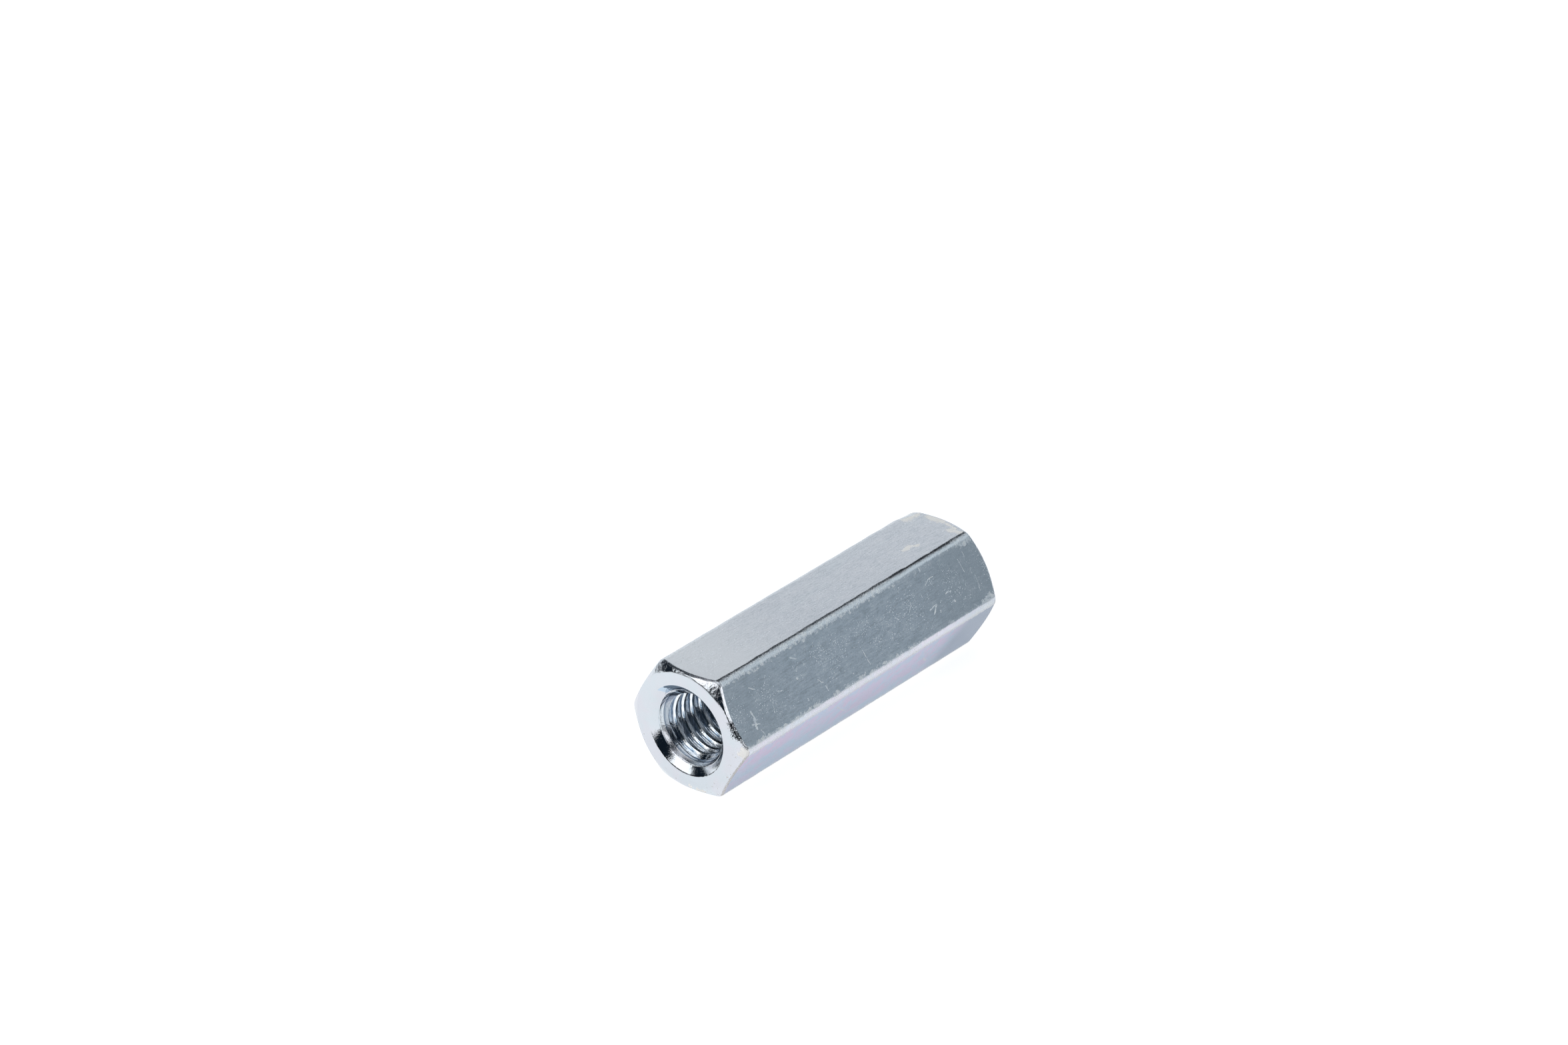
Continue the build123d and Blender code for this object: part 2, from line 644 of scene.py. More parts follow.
def film(sheet, point, strength, lean=0.0):
    """The plate's own colour under a thin film, whose thickness runs from blue to pink."""
    stretched = sheet.mapped(point, Scale=DRAWN_OUT)
    depth = sheet.noise(stretched, 0.40, detail=2, distortion=0.3) + lean
    tint = sheet.mix(depth.step(0.38, 0.50), FILM_BLUE, FILM_LILAC)
    tint = sheet.mix(depth.step(0.48, 0.60), tint, FILM_PINK)
    return sheet.mix(strength, PLATE, tint)


print("plate", PLATE, "film", FILM_BLUE, FILM_LILAC, FILM_PINK)

# %% [markdown]
# ## Where a point lies on the nut
#
# A finish has to know which flat, edge or cone it is on. A point on a flat lies exactly half the
# distance across flats from the axis, measured square to that flat. The largest of the three
# distances that are square to the three pairs of flats is the point's reach, and where it falls
# short of half the width the point is on a rounded edge. The flat that looks up is called the
# top, the next one towards the camera the side, and the one below it the lower flat.
#
# Every mask below is a step. A step on a place has two distances in mm, and a step on a noise
# has two of its levels from 0 to 1. The mask rises or falls smoothly between them.

# %% Helper for places on the bar
TILT = math.sqrt(3) / 2
flats_mm = half_flats / MM


def on_bar(x, y, z):
    """Distance from the axis, square to the side and the lower flat, up the side flat, and
    short of the end's cone, all in mm."""
    out = (y * y + z * z) ** 0.5
    side_reach = z * 0.5 - y * TILT
    lower_reach = -(y * TILT + z * 0.5)
    up_side = y * 0.5 + z * TILT
    to_cone = length_mm - abs(x) - (out - RING_RADIUS) * math.tan(CHAMFER_ANGLE)
    return out, side_reach, lower_reach, up_side, to_cone


print("the cone falls", round(math.tan(CHAMFER_ANGLE), 3), "mm for each mm outwards")

# %% Places on the drawn flats
sheet, point, (x, y, z) = plate_start("zinc_on_drawn_flats")
out, side_reach, lower_reach, up_side, to_cone = on_bar(x, y, z)
up_lower = z * TILT - y * 0.5
reach = strongest([abs(z), abs(side_reach), abs(lower_reach)])
from_middle = (out * out - reach * reach).at_least(0) ** 0.5
off_rim = to_cone.step(0.08, 0.40)
on_edge = (flats_mm - reach).step(0.002, 0.012) * off_rim
on_top = z.step(flats_mm - 0.03, flats_mm - 0.01)
on_side = side_reach.step(flats_mm - 0.03, flats_mm - 0.01)
on_lower = lower_reach.step(flats_mm - 0.5, flats_mm - 0.1)
faces_up = z.step(-1.0, 1.0)
print("a flat's middle line is", round(flats_mm, 3), "mm from the axis")

# %% [markdown]
# ## Marks on the drawn flats
#
# The die leaves fine grain along the bar. Handling leaves thin scratches, and knocks that crowd
# along the middle of each flat, where loose pieces rub together in the plating barrel. A knock is
# a tiny nub here with a painted glint: its bright colour is a painted highlight for the metal that
# it pushes up, and the pit beside it is too small to see. Most marks come by chance, from noise and
# from cells that hold one speck or none. Those that the photograph shows plainly are placed one by
# one, as short strokes on the flat.

# %% Helpers for marks by chance
SCRATCH_STRETCH = (0.2, 12, 12)


def scratches(sheet, point, turn, seed, amount):
    """Thin short lines in one direction, which a slow noise breaks up."""
    laid = sheet.mapped(point, Rotation=turn, Location=(seed, 3 * seed, 5 * seed))
    thin = sheet.mapped(laid, Scale=SCRATCH_STRETCH)
    lines = sheet.noise(thin, 1.0, detail=0.5, distortion=0.2).step(0.68, 0.74)
    here = sheet.noise(laid, 0.8, detail=1.0).step(0.60 - amount, 0.66 - amount)
    return lines * here


def dots(sheet, point, scale, size, density):
    """Round specks. Each cell has one or none, by chance, and density may be a signal."""
    cells = sheet.node("ShaderNodeTexVoronoi", values={"Vector": point, "Scale": scale})
    chance = Signal(sheet, cells.socket.node.outputs["Color"])
    red = sheet.node("ShaderNodeSeparateColor", values={0: chance})
    return cells.step(size, size * 0.7) * (density - red).step(0.0, 0.02)


print("scratches are", SCRATCH_STRETCH[1] / SCRATCH_STRETCH[0], "times as long as wide")

# %% Helpers for placed marks


def stroke(sheet, place, start, end, width):
    """A mark from start to end on a flat, given as (along the nut, up the flat), in mm."""
    way = Vector((end[0] - start[0], end[1] - start[1], 0))
    offset = sheet.vector("SUBTRACT", place, (*start, 0))
    share = sheet.vector("DOT_PRODUCT", offset, tuple(way / way.length_squared), output=1)
    nearest = sheet.scaled(tuple(way), share.at_least(0).at_most(1))
    distance = sheet.vector("DISTANCE", offset, nearest, output=1)
    return distance.step(width * 1.5, 0.0)


def strokes(sheet, place, marks):
    """All the marks of one flat together."""
    return strongest([stroke(sheet, place, *mark) for mark in marks])


print("strokes ready")

# %% Marks seen on the flats, as (start, end, half width), in mm
SIDE_MARKS = [
    ((13.76, -1.47), (13.83, -1.54), 0.15), ((11.48, -1.63), (11.41, -1.75), 0.11),
    ((10.12, -1.03), (11.31, -0.80), 0.09), ((10.49, -1.62), (11.24, -0.92), 0.11),
    ((12.98, -0.34), (13.76, -0.45), 0.09), ((10.88, 1.42), (11.50, 1.75), 0.06),
    ((11.50, 1.75), (12.27, 1.79), 0.06), ((16.33, 1.99), (16.58, 0.49), 0.05),
    ((17.32, 2.39), (17.34, 1.20), 0.05), ((17.71, -0.28), (17.61, -2.00), 0.05),
    ((5.35, 0.27), (5.71, -0.17), 0.09), ((10.87, 3.47), (10.96, 2.92), 0.15),
    ((-0.35, -0.91), (-0.10, -2.53), 0.06), ((-9.54, 2.25), (-8.89, 1.83), 0.11),
    ((-9.80, 0.15), (-9.64, 0.08), 0.13), ((-6.69, -2.06), (-6.61, -2.52), 0.11),
    ((-7.31, -1.07), (-6.80, -1.58), 0.07), ((2.19, -0.99), (2.19, -1.06), 0.09),
    ((-9.47, -2.14), (-9.50, -2.34), 0.10), ((-14.00, -0.80), (-14.17, -1.58), 0.06),
    ((-16.97, -0.28), (-16.75, -1.23), 0.12), ((-16.92, -1.02), (-17.03, -2.03), 0.21),
    ((-17.49, -1.48), (-16.48, -1.78), 0.11), ((-16.63, -2.35), (-16.34, -3.19), 0.06),
    ((-15.93, 1.78), (-15.35, 1.42), 0.08), ((-12.84, 0.12), (-12.03, -0.20), 0.06),
    ((8.24, 0.72), (7.46, -0.04), 0.05),
]
TOP_STAINS = [
    ((17.2, 2.75), (18.85, 2.74), 0.55), ((19.15, 1.34), (19.3, -0.31), 0.50),
    ((12.26, -1.15), (13.19, -0.99), 0.34), ((13.19, -0.99), (13.99, -1.54), 0.26),
    ((18.3, -2.0), (18.68, -3.17), 0.42), ((19.2, -1.0), (18.9, -2.2), 0.20),
]
TOP_SCRATCHES = [((3.25, 2.61), (1.13, -0.27), 0.045), ((-2.06, -2.42), (1.39, -1.43), 0.055)]
LOWER_MARKS = [((-4.66, 1.55), (-2.07, -0.90), 0.09), ((9.68, 0.24), (10.58, -0.70), 0.13)]
print(len(SIDE_MARKS + TOP_STAINS + TOP_SCRATCHES + LOWER_MARKS), "marks placed by the photograph")

# %% Grain and marks by chance
SCRATCH_SETS = [
    ((0.3, 0.5, 0.9), 1.7, 0.00), ((1.2, 0.2, -0.7), 4.1, 0.03), ((0.1, 1.1, 0.35), 9.3, 0.00),
]
grain = sheet.noise(sheet.mapped(point, Scale=DRAWN_OUT), 5.5, detail=4.0, roughness=0.65)
satin = sheet.noise(point, 6.5, detail=4.0, roughness=0.72)
clouds = sheet.noise(point, 0.75, detail=4.0, roughness=0.6)
ragged = sheet.noise(point, 2.0, detail=5.0, roughness=0.66)
fleck = sheet.noise(point, 11.0, detail=2.0, roughness=0.6)

lines = strongest([scratches(sheet, point, *one_set) for one_set in SCRATCH_SETS])
crowd = sheet.noise(point, 0.33, detail=2.0).step(0.42, 0.60) * from_middle.step(2.6, 0.6)
# Knocks are bumps with a painted glint in their colour.
knocks_and_glints = dots(sheet, point, 6.4, 0.25, crowd * 0.75 + 0.03)
chips = dots(sheet, point, 1.1, 0.10, 0.12 + crowd * 0.2)
print("nodes", len(sheet.tree.nodes))

# %% Lay the placed marks
side_place = sheet.wobbled(sheet.joined(x, up_side, 0.0), point, 2.0, 0.25)
top_place = sheet.wobbled(sheet.joined(x, y, 0.0), point, 1.2, 0.55)
lower_place = sheet.wobbled(sheet.joined(x, up_lower, 0.0), point, 1.0, 0.5)

placed = strokes(sheet, side_place, SIDE_MARKS) * on_side
placed = placed.at_least(strokes(sheet, top_place, TOP_SCRATCHES) * on_top * 0.7)
placed = (placed + (fleck - 0.5) * 1.8).step(0.40, 0.85) * placed.step(0.05, 0.45)
placed = placed * (0.5 + ragged.step(0.42, 0.58) * 0.5)
low_marks = strokes(sheet, lower_place, LOWER_MARKS) * on_lower * fleck.step(0.3, 0.6)
stained = strokes(sheet, top_place, TOP_STAINS)
stains = (stained * on_top + (ragged - 0.5) * 2.2 + (fleck - 0.5) * 0.8).step(0.10, 0.80)
stains = stains * stained.step(0.0, 0.15) * on_top * 0.75
print("nodes", len(sheet.tree.nodes))

# %% [markdown]
# ## Colour of the bare flats
#
# Each flat shows the same plate in another light and with another film. The top is plain and
# is painted paler towards the near end, a painted lighter reflection, the side is a little bluer
# and darker towards both ends, and the lower flat has the strongest film, in clouds of pink and
# blue. The lower flat is also darkened downwards and towards the far end with painted shade, for
# the darker surroundings that it reflects there.

# %% Colour the bare flats
# Blue-grey for the painted shade on the lower flat.
PAINTED_SHADE_BLUE = (0.33, 0.41, 0.54)
tone = grain * 0.42 + satin * 0.40 + clouds * 0.20
plain = 1.0 - on_lower * 0.8
side_ends = x.step(4, 18) * 0.72 + x.step(-9, -17) * 0.45
patchy = 0.55 + x.step(8.0, 13.0) * 0.25
# Painted shade: the lower flat grows darker downwards and towards the far end.
lower_painted_shade = up_lower.step(4.5, -5.0) * 0.65 + x.step(10.5, 17.0)
bare_plate = film(sheet, point, on_lower * 0.88 + 0.06, up_lower * 0.034 - 0.035)
colour = sheet.painted(bare_plate, [
    (on_side * 0.16, FILM_BLUE),
    (tone.step(0.55, 0.38) * plain, PLATE_DARK),
    (tone.step(0.52, 0.68) * plain * 0.9, PLATE_LIGHT),
    (on_side * side_ends, PLATE_DARK),
    (on_lower * patchy * clouds.step(0.50, 0.42), FILM_PINK),
    (on_lower * patchy * clouds.step(0.49, 0.59), FILM_BLUE),
    (on_lower * lower_painted_shade, PAINTED_SHADE_BLUE),
    # painted lighter reflection on the near end of the top flat
    (on_top * x.step(-5, -17) * 0.6, PLATE_LIGHT),
])
print("nodes", len(sheet.tree.nodes))

# %% [markdown]
# ## Frost and painted light along the long edges
#
# The long rounded edges carry a pale frost of zinc salts, which creeps a little way onto the
# flats with a ragged border. On the upper rounded edges the pale colour is also a painted
# highlight, where the rounding would reflect the bright room. How far a point is from its flat's
# middle line says how near it is to an edge, and adding a noise to that makes the border ragged.
# On the upper edge the frost stops at a thin painted dark line beside the top flat, a painted
# dark reflection, and near the far end it is partly rubbed away. On the lower edges it is a smooth
# white strip, which is a painted reflection of the white floor, with salts at its ragged border.

# %% Frost, painted highlight and painted dark line
FROST_BEGINS, FROST_FULL = 3.98, 4.30
LOW_STRIP_BEGINS, LOW_STRIP_FULL = 3.46, 3.58
over_edge = z * 0.5 - abs(y) * TILT
broken = over_edge + (ragged - 0.5) * 0.30 + (fleck - 0.5) * 0.20
near_top = broken.step(0.12, 0.26)
rubbed = x.step(5.5, 8.0) * x.step(17.2, 16.2) * faces_up
# The upper rounded edges get a pale coat that is partly frost and partly a painted highlight.
upper_frost_and_highlight = on_edge * faces_up * (1.0 - near_top) * (1.0 - rubbed * 0.45)
creeping = from_middle + ragged * 1.9 + faces_up * x.step(16.4, 18.4) * 0.45
margin = creeping.step(FROST_BEGINS, FROST_FULL)
margin = margin * (1.0 - on_top * 0.85) * (1.0 - rubbed * 0.7) * off_rim
thickness = 0.24 + satin.step(0.40, 0.58) * 0.26 + ragged.step(0.42, 0.62) * 0.30
frost_and_highlight = margin.at_least(upper_frost_and_highlight) * thickness
frost_and_highlight = strongest([frost_and_highlight, placed, lines * 0.20, chips * 0.6])

# The lower rounded edges get a white strip, a painted reflection of the floor, with salts at its
# border.
low_margin = (from_middle + ragged * 0.8).step(LOW_STRIP_BEGINS, LOW_STRIP_FULL) * off_rim
low_frost_and_reflection = low_margin.at_least(on_edge) * (1.0 - faces_up) * 0.95
low_frost_and_reflection = low_frost_and_reflection.at_least(low_marks)

# A thin painted dark line beside the top flat, a painted dark reflection.
painted_dark_line = on_edge * broken.step(0.14, 0.23) * (ragged * 0.5 + fleck * 0.5).step(0.44, 0.51)
painted_dark_line = painted_dark_line * (1.0 - y.step(-1.0, 1.0) * 0.85)
print("nodes", len(sheet.tree.nodes))

# %% [markdown]
# ## Colour, shine and relief of the flats
#
# The marks are laid over the bare plate like coats of paint, the frost lowest. Some coats are
# painted light: the pale edge strips are partly painted highlight and painted reflection, the
# knocks carry painted glints, and the dark line by the top flat is a painted dark reflection.
# Salts are matt where the plate is bright, so each deposit also takes away some of the metal's
# shine. The bump's height is in millimetres, so it can be judged as a real one: the grain's is
# about two thousandths of a millimetre. A relief that only shows under a mask is made from a noise
# less 0.5, because a mask alone would raise a plateau with a step at its border.

# %% Close the finish of the flats
# The frost colours are partly painted highlight and painted reflection, the knock colour is a
# painted glint, and the dark line's colour is a painted dark reflection.
FROST_AND_HIGHLIGHT = (0.70, 0.78, 0.84)
LOW_FROST_AND_REFLECTION = (0.85, 0.88, 0.905)
PALE_CREAM = (0.93, 0.92, 0.89)
CREAM = (0.78, 0.77, 0.73)
PAINTED_GLINT = (0.84, 0.92, 1.0)
PAINTED_DARK_LINE = (0.10, 0.12, 0.14)
GRAIN_RELIEF, SATIN_RELIEF = 0.0030, 0.0026
SCRATCH_DEPTH, KNOCK_HEIGHT = 0.003, 0.004
FROST_RELIEF, EDGE_RELIEF = 0.030, 0.006

colour = sheet.painted(colour, [
    (frost_and_highlight, FROST_AND_HIGHLIGHT),
    (frost_and_highlight * ragged.step(0.53, 0.60) * 0.4, PALE_CREAM),
    (low_frost_and_reflection, LOW_FROST_AND_REFLECTION),
    (stains, CREAM),
    (knocks_and_glints, PAINTED_GLINT),
    (painted_dark_line, PAINTED_DARK_LINE),
])
matt = strongest([
    frost_and_highlight * (0.15 + faces_up * 0.70), knocks_and_glints * 0.9, stains * 0.8, low_frost_and_reflection * 0.35,
])
roughness = 0.15 + grain * 0.08 + clouds * 0.06 + frost_and_highlight * 0.2 - on_edge * 0.06
height = grain * (GRAIN_RELIEF - on_top * 0.0009) + satin * (SATIN_RELIEF - low_frost_and_reflection * 0.0016)
height = height - lines * SCRATCH_DEPTH + knocks_and_glints * KNOCK_HEIGHT
height = height + (ragged - 0.5) * (upper_frost_and_highlight * FROST_RELIEF + on_edge * EDGE_RELIEF)
plate_end(sheet, colour, roughness, height, deposit=matt)

# %% [markdown]
# ## The turned ends
#
# A lathe tool leaves rings round the axis, so the pattern depends on how far out a point is and
# how far along, and not on its direction. Over the rings lies a slow unevenness, which on the
# bright cone breaks every reflection into dark and light patches. CONE_PATTERN says which part of
# the noise the cone shows, and is chosen so that the patches fall as they do in the photograph.
# The cone, the crossings and the countersink share this finish, so it starts by telling them
# apart.

# %% Places and traces on the turned ends
CONE_PATTERN = (10.06, 0.56, -31.65)
sheet, point, (x, y, z) = plate_start("zinc_on_turned_ends")
out, side_reach, lower_reach, up_side, to_cone = on_bar(x, y, z)
past_ring = (out - RING_RADIUS).step(0.02, 0.2)
on_cone = past_ring * to_cone.step(0.06, 0.0)
on_crossing = past_ring * to_cone.step(0.0, 0.04)
rim = on_cone.at_least(out.step(RING_RADIUS - 0.5, RING_RADIUS + 0.1))
in_sink = (out - (MOUTH_RADIUS + EDGE_BREAK)).step(0.02, -0.02)
on_sink_cone = in_sink * (out - BURR_RADIUS).step(-0.02, 0.04) * z.step(1.0, 2.0)
collar = in_sink * (out - BURR_RADIUS).step(0.02, -0.02)
scored = (out - COLLAR_RADIUS).step(0.02, -0.04)

rings = sheet.noise(sheet.joined(x, out, 0.0), 12.0, detail=3.0, roughness=0.6)
blobs = sheet.noise(sheet.mapped(point, Location=CONE_PATTERN), 0.85, detail=2.0, roughness=0.5)
uneven = sheet.noise(point, 1.5, detail=4.0, roughness=0.6)
satin = sheet.noise(point, 8.0, detail=3.0, roughness=0.6)
nicks = sheet.noise(point, 3.6, detail=4.0, roughness=0.68) - 0.5
print("nodes", len(sheet.tree.nodes))

# %% [markdown]
# ## Painted light in the mouth, and dirt on the ring
#
# Under the upper lip of the mouth the cone is painted with a blue reflection and, to its right,
# with dark painted shade, and below, a thin line of painted shade follows the mouth's edge. Beyond
# the collar the tap has scored what is left of the cone, which looks blue. Brownish dirt sits on
# the lower half of the ring, in specks whose cells are wobbled so that none is round.

# %% Shade and dirt of the mouth and the ring
LINE_WIDTH = 0.09
from_left = z - y * 0.6
# Painted reflection and painted shade under the upper lip of the mouth.
under_lip = on_sink_cone * from_left.step(1.15, 1.35)
shaded = (from_left + (uneven - 0.5) * 1.2 + (rings - 0.5) * 0.8).step(2.15, 2.35)
# A thin line of painted shade along the lower half of the mouth's edge.
mouth_shade_line = (out - (MOUTH_RADIUS - LINE_WIDTH)).step(0.0, 0.03)
mouth_shade_line = mouth_shade_line * (out - MOUTH_RADIUS).step(0.05, 0.01)
mouth_shade_line = mouth_shade_line * z.step(-1.5, -2.5) * satin.step(0.40, 0.50)
specks = dots(sheet, point, 6.5, 0.26, 0.14)
dirt = dots(sheet, sheet.wobbled(point, point, 6.0, 0.25), 2.8, 0.30, 0.60)
dirt = dirt * out.step(5.5, 6.3) * z.step(1.0, -3.0) * uneven.step(0.42, 0.60)
print("nodes", len(sheet.tree.nodes))

# %% [markdown]
# ## Painted dark reflection and dirt on the crossings
#
# The crossings of cone and flats catch more. The near crossing of the side flat has a ragged
# black patch on its lower half, which is a painted dark reflection, and those of the lower flat are
# brown with dirt. One pale clump of zinc salts sits on the corner between the two, and three lie at
# the foot of the ring. A clump is all that lies within its size of a centre, and noise breaks its
# outline up.

# %% Painted dark patch, seam dirt and clumps of salts
CLUMPS = [
    ((-19.45, -7.05, -0.05), 0.50), ((-19.8, -0.50, -6.05), 0.26), ((-19.9, -1.4, -6.1), 0.22),
    ((-19.8, -2.1, -6.1), 0.28),
]
FAR_OFF = 9.0
near_end = x.step(-19.0, -19.1)
along_patch = up_side.step(0.1, -0.4) * up_side.step(-3.6, -3.2)
speckle = sheet.noise(point, 14.0, detail=2.0).step(0.38, 0.46)
# A painted dark reflection: a ragged black patch on the side flat's near crossing.
dark_reflection_patch = side_reach - up_side.step(-1.6, -2.6) * 0.35 + (satin - 0.5) * 1.8 + (uneven - 0.5) * 0.6
dark_reflection_patch = dark_reflection_patch.step(6.05, 6.20) * speckle * near_end * along_patch * side_reach.step(5.6, 5.9)
seam = on_crossing * lower_reach.step(6.28, 6.40) * satin.step(0.36, 0.52)

sizes_away = FAR_OFF
for centre, size in CLUMPS:
    away = sheet.vector("DISTANCE", point, centre, output=1)
    sizes_away = (away / size).at_most(sizes_away)
clump = (sizes_away + (uneven - 0.5) * 3.0 + (satin - 0.5) * 1.8).step(1.25, 0.95)
print(len(CLUMPS), "clumps, nodes", len(sheet.tree.nodes))

# %% Close the finish of the ends
SCORE_BLUE = (0.16, 0.22, 0.30)
# The lip's blue is a painted reflection, and its shade colour is painted shade.
PAINTED_LIP_REFLECTION = (0.50, 0.64, 0.78)
LIP_SHADE = (0.02, 0.06, 0.11)
# Near-black for painted shade along the mouth and a painted dark reflection on a crossing.
PAINTED_DARK = (0.012, 0.016, 0.022)
RIM_DIRT = (0.56, 0.54, 0.50)
SEAM_DIRT = (0.42, 0.40, 0.38)
CONE_WAVES, CONE_BLOBS = 0.034, 0.10
CROSSING_NICKS, COLLAR_NICKS = 0.040, 0.030

colour = sheet.painted(film(sheet, point, 0.12), [
    (satin.step(0.55, 0.75) * 0.2, PLATE_LIGHT),
    (scored * rings.step(0.62, 0.42) * 0.9, SCORE_BLUE),
    (under_lip * 0.8, PAINTED_LIP_REFLECTION),
    (on_sink_cone * shaded * 0.9, LIP_SHADE),
    (rim * satin.step(0.56, 0.66) * 0.35, PLATE_DARK),
    (mouth_shade_line * 0.9, PAINTED_DARK),
    (dirt * 0.8, RIM_DIRT),
    (seam * 0.9, SEAM_DIRT),
    (dark_reflection_patch, PAINTED_DARK),
    (clump * 0.9, PALE_CREAM),
])
soiled = strongest([specks * (on_cone + in_sink) * 0.5, dirt * 0.6, clump * 0.6])
roughness = 0.20 + satin * 0.05 - on_cone * 0.14 - in_sink * 0.15 - on_crossing * 0.13
chatter = in_sink * z.step(-0.6, -2.2)
height = rings * (0.0008 + chatter * 0.0014)
height = height + satin * (0.0006 + chatter * 0.0085 + on_cone * 0.0125)
height = height + (uneven - 0.5) * (on_cone * CONE_WAVES + chatter * 0.012 + 0.002)
height = height + (blobs - 0.5) * on_cone * CONE_BLOBS
scraped = on_crossing * CROSSING_NICKS + collar * z.step(1.0, -0.5) * COLLAR_NICKS
height = height + nicks * scraped
plate_end(sheet, colour, roughness, height, deposit=soiled)

# %% [markdown]
# ## The thread's finish
#
# The tap's marks run with the thread. A point's place along the nut, less the part of a pitch
# that its direction round the axis stands for, is the same all the way along one groove, and its
# remainder after whole pitches has no seam. That number and the distance from the axis together
# say where on the thread's profile the point lies. The deep part of the groove is darkened with
# painted shade, less towards the bottom, and streaks of painted glint lie within it.

# %% Finish of the thread
TAP_DARK, TAP_LIGHT = (0.34, 0.46, 0.60), (0.92, 0.96, 0.99)
# The roots' navy is painted shade, and their glint colour is a painted glint.
ROOT_PAINTED_SHADE, ROOT_GLINT = (0.06, 0.13, 0.24), (0.50, 0.60, 0.70)
ROOT_BEGINS, ROOT_FULL = 3.49, 3.60
sheet, point, (x, y, z) = plate_start("zinc_in_the_thread")
out = (y * y + z * z) ** 0.5
round_axis = y.math("ARCTAN2", z, y)
along_thread = x / PITCH - round_axis / (2 * math.pi)
on_profile = along_thread.math("WRAP", along_thread, 1.0)
round_place = sheet.joined(on_profile * PITCH * 5, y / out * 1.8, z / out * 1.8)
tap_marks = sheet.node("ShaderNodeTexNoise", {"noise_dimensions": "4D"}, {
    "Vector": round_place, "W": out * 5, "Scale": 1.0, "Detail": 3.0, "Roughness": 0.66,
})
uneven = sheet.noise(point, 1.7, detail=3.0, roughness=0.6)
# Painted shade in the thread's roots, half as strong towards the bottom.
deep_root_shade = out.step(ROOT_BEGINS, ROOT_FULL) * (1.0 - z.step(0.5, -3.0) * 0.5)
colour = sheet.painted(sheet.mix(tap_marks.step(0.38, 0.50), TAP_DARK, TAP_LIGHT), [
    (deep_root_shade * 0.85, ROOT_PAINTED_SHADE),
    (deep_root_shade * tap_marks.step(0.50, 0.60), ROOT_GLINT),
])
speckle = sheet.noise(point, 9.0, detail=2.0) - 0.5
roughness = 0.06 + tap_marks * 0.05
height = (tap_marks - 0.5) * (0.012 + deep_root_shade * 0.030 + uneven.step(0.40, 0.62) * 0.040)
height = height + speckle * z.step(0.5, -1.5) * 0.010
plate_end(sheet, colour, roughness, height)

# %% [markdown]
# ## The floor
#
# The nut lies on white paper. The paper takes the nut's soft shadow as any matt sheet does, and
# a faint glow that only the camera and the reflections see keeps it white.

# %% Lay the floor
FLOOR_HALF_WIDTH = 1.2
PAPER = (0.6, 0.6, 0.6, 1)
GLOW_TO_CAMERA, GLOW_IN_METAL = 0.78, 0.50
WHITE = (1, 1, 1)

bm = bmesh.new()
bmesh.ops.create_grid(bm, x_segments=2, y_segments=2, size=FLOOR_HALF_WIDTH)
bmesh.ops.translate(bm, verts=bm.verts, vec=(0, 0, node_low.z))
floor_mesh = bpy.data.meshes.new("floor")
bm.to_mesh(floor_mesh)
bm.free()
floor = bpy.data.objects.new("floor", floor_mesh)
bpy.context.scene.collection.objects.link(floor)

paper = bpy.data.materials.new("white_paper")
paper.use_nodes = True
sheet = Sheet(paper.node_tree)
light_path = sheet.node("ShaderNodeLightPath").socket.node.outputs
to_camera = Signal(sheet, light_path["Is Camera Ray"])
in_gloss = Signal(sheet, light_path["Is Glossy Ray"])
in_gloss = in_gloss.at_least(Signal(sheet, light_path["Is Transmission Ray"]))
shine = to_camera * GLOW_TO_CAMERA + in_gloss * GLOW_IN_METAL
matt = sheet.node("ShaderNodeBsdfDiffuse", values={"Color": PAPER})
glow = sheet.node("ShaderNodeEmission", values={"Color": (*WHITE, 1), "Strength": shine})
both = sheet.node("ShaderNodeAddShader", values={0: matt, 1: glow})
sheet.node("ShaderNodeOutputMaterial", values={"Surface": both})
floor_mesh.materials.append(paper)
print("floor at", round(node_low.z / MM, 3), "mm")

# %% [markdown]
# ## Room and light
#
# Metal shows what surrounds it, so the room matters as much as the lamps. Behind the nut hangs a
# pale sheet, to its right is a grey wall, overhead is a large soft light with a dark gap below
# it, and the side of the camera is dark. The room is drawn in the world shader from the direction
# of each ray, stated as the photographer would: to the right, behind, and up. It is a dark room
# in which flat panels hang, one over the other.

# %% Helpers for the room
world = bpy.data.worlds.new("room")
bpy.context.scene.world = world
world.use_nodes = True
sheet = Sheet(world.node_tree)
look = sheet.node("ShaderNodeTexCoord")


def towards(azimuth, elevation):
    """The direction at so many degrees to the right of straight behind, and up."""
    azimuth, elevation = math.radians(azimuth), math.radians(elevation)
    level = photo_behind * math.cos(azimuth) + photo_right * math.sin(azimuth)
    return level * math.cos(elevation) + upwards * math.sin(elevation)


def along(direction):
    """How far the ray's direction agrees with another, from -1 to 1."""
    return sheet.vector("DOT_PRODUCT", look, tuple(direction), output=1)


def hang(room, colour, azimuth, elevation, left, right, low, high, soft=0.03):
    """The room with one flat panel more. Its four sides are slopes from its middle direction."""
    middle = towards(azimuth, elevation)
    to_right = towards(azimuth + 90, 0)
    ahead_of = along(middle).at_least(0.001)
    across = along(to_right) / ahead_of
    rise = along(to_right.cross(middle)) / ahead_of
    inside = across.step(left - soft, left + soft) * across.step(right + soft, right - soft)
    inside = inside * rise.step(low - soft, low + soft) * rise.step(high + soft, high - soft)
    return sheet.mix(inside * along(middle).step(0.0, 0.05), room, colour)


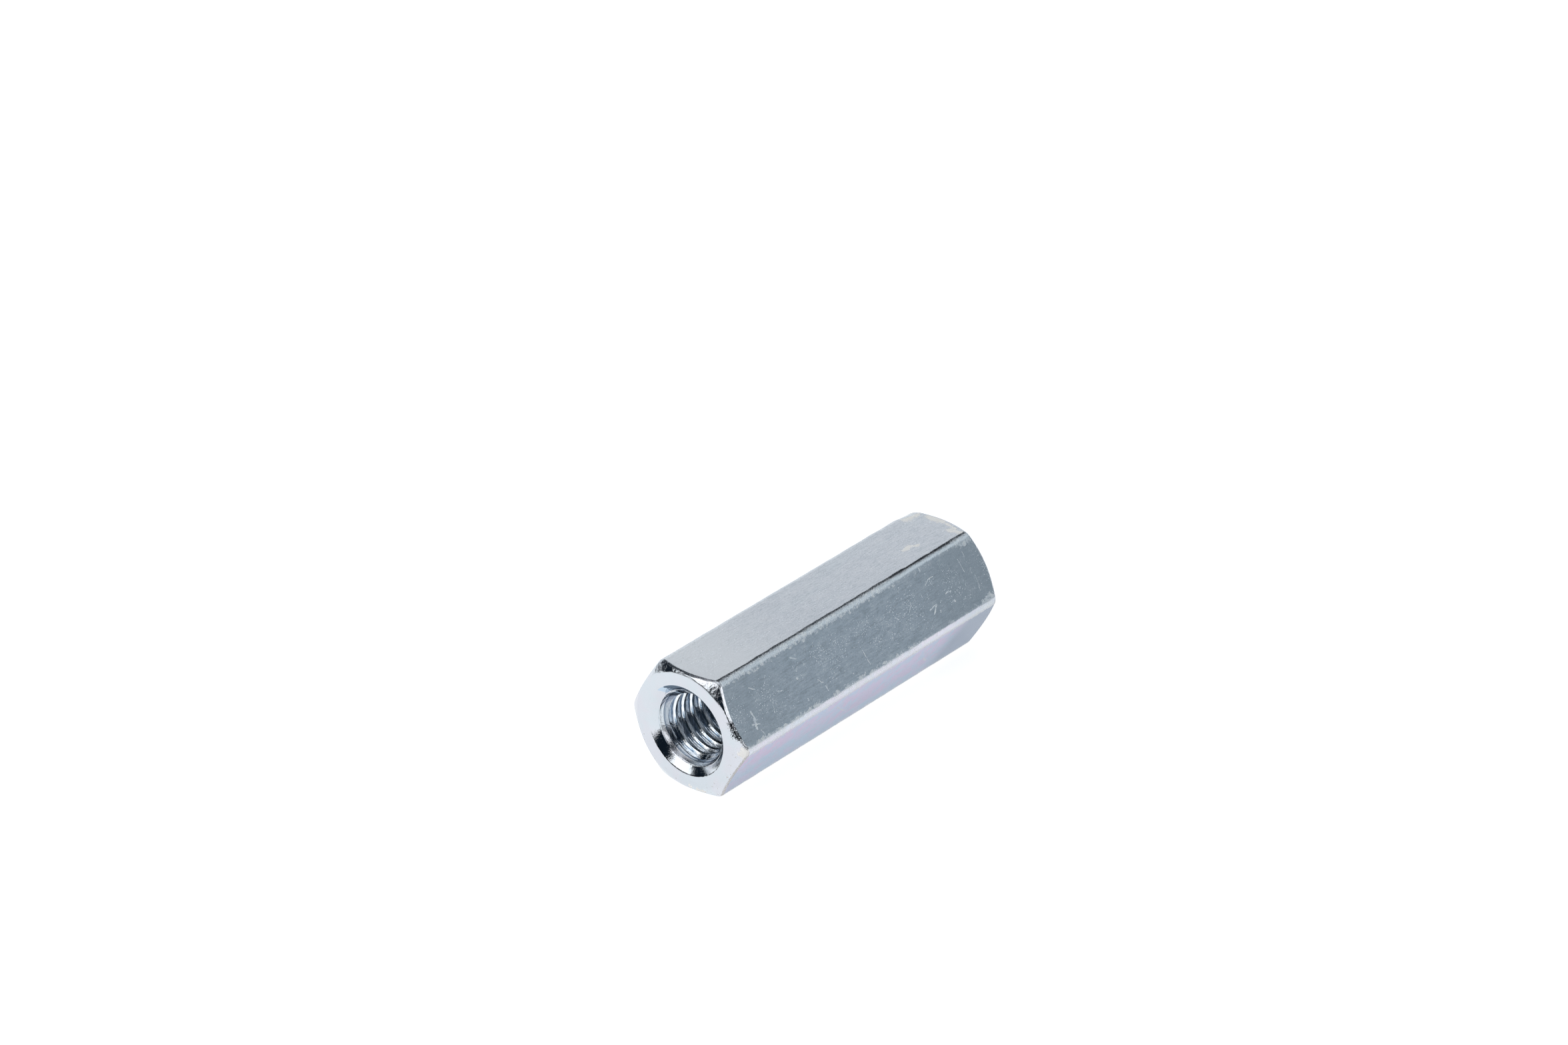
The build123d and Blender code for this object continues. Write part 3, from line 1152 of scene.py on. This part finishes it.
print("straight behind is", [round(part, 2) for part in towards(0, 0)])

# %% Draw the room in the world
DARK_ROOM = (0.006, 0.011, 0.018)
BACK_SHEET = (0.86, 0.885, 0.92)
RIGHT_WALL = (0.30, 0.355, 0.395)
RIGHT_SCREEN = (0.66, 0.74, 0.79)
WINDOW_LIGHT = (1.5, 1.5, 1.5)
CEILING = (0.9, 0.92, 0.95)
PANELS = [
    (CEILING, 0, 90, -0.3, 0.5, -0.5, 0.4),
    (BACK_SHEET, 0, 0, -2.2, 1.6, -3.0, 0.70),
    (RIGHT_WALL, 90, 0, -0.35, 0.9, -3.0, 0.50, 0.08),
    (RIGHT_SCREEN, 64, 38, -0.24, 0.42, -0.20, 0.24),
    (WINDOW_LIGHT, -114, 37, -0.36, 0.36, -0.36, 0.40),
    (WINDOW_LIGHT, -138, 46, -0.34, 0.24, -0.12, 0.24),
    (WINDOW_LIGHT, 130, 31, -0.60, 0.50, -0.34, 0.22),
]

colour = DARK_ROOM
for panel in PANELS:
    colour = hang(colour, *panel)
light_path = sheet.node("ShaderNodeLightPath").socket.node.outputs
colour = sheet.mix(Signal(sheet, light_path["Is Camera Ray"]), colour, WHITE)
background = sheet.node("ShaderNodeBackground", values={"Color": colour, "Strength": 1.0})
sheet.node("ShaderNodeOutputWorld", values={"Surface": background})
print("room drawn with", len(world.node_tree.nodes), "nodes")

# %% Hang the soft light
LAMP_WIDTH = 0.5
LAMP_POWER = 4.5
LAMP_DISTANCE = 0.9

lamp_data = bpy.data.lights.new("soft_light", "AREA")
lamp_data.shape = "DISK"
lamp_data.size = LAMP_WIDTH
lamp_data.energy = LAMP_POWER
lamp = bpy.data.objects.new("soft_light", lamp_data)
bpy.context.scene.collection.objects.link(lamp)
lamp.location = towards(-114, 42) * LAMP_DISTANCE
lamp.visible_glossy = False
lamp.rotation_euler = (-lamp.location).to_track_quat("-Z", "Y").to_euler()
bpy.context.scene.view_settings.view_transform = "Standard"
print("lamp at", [round(v, 2) for v in lamp.location])
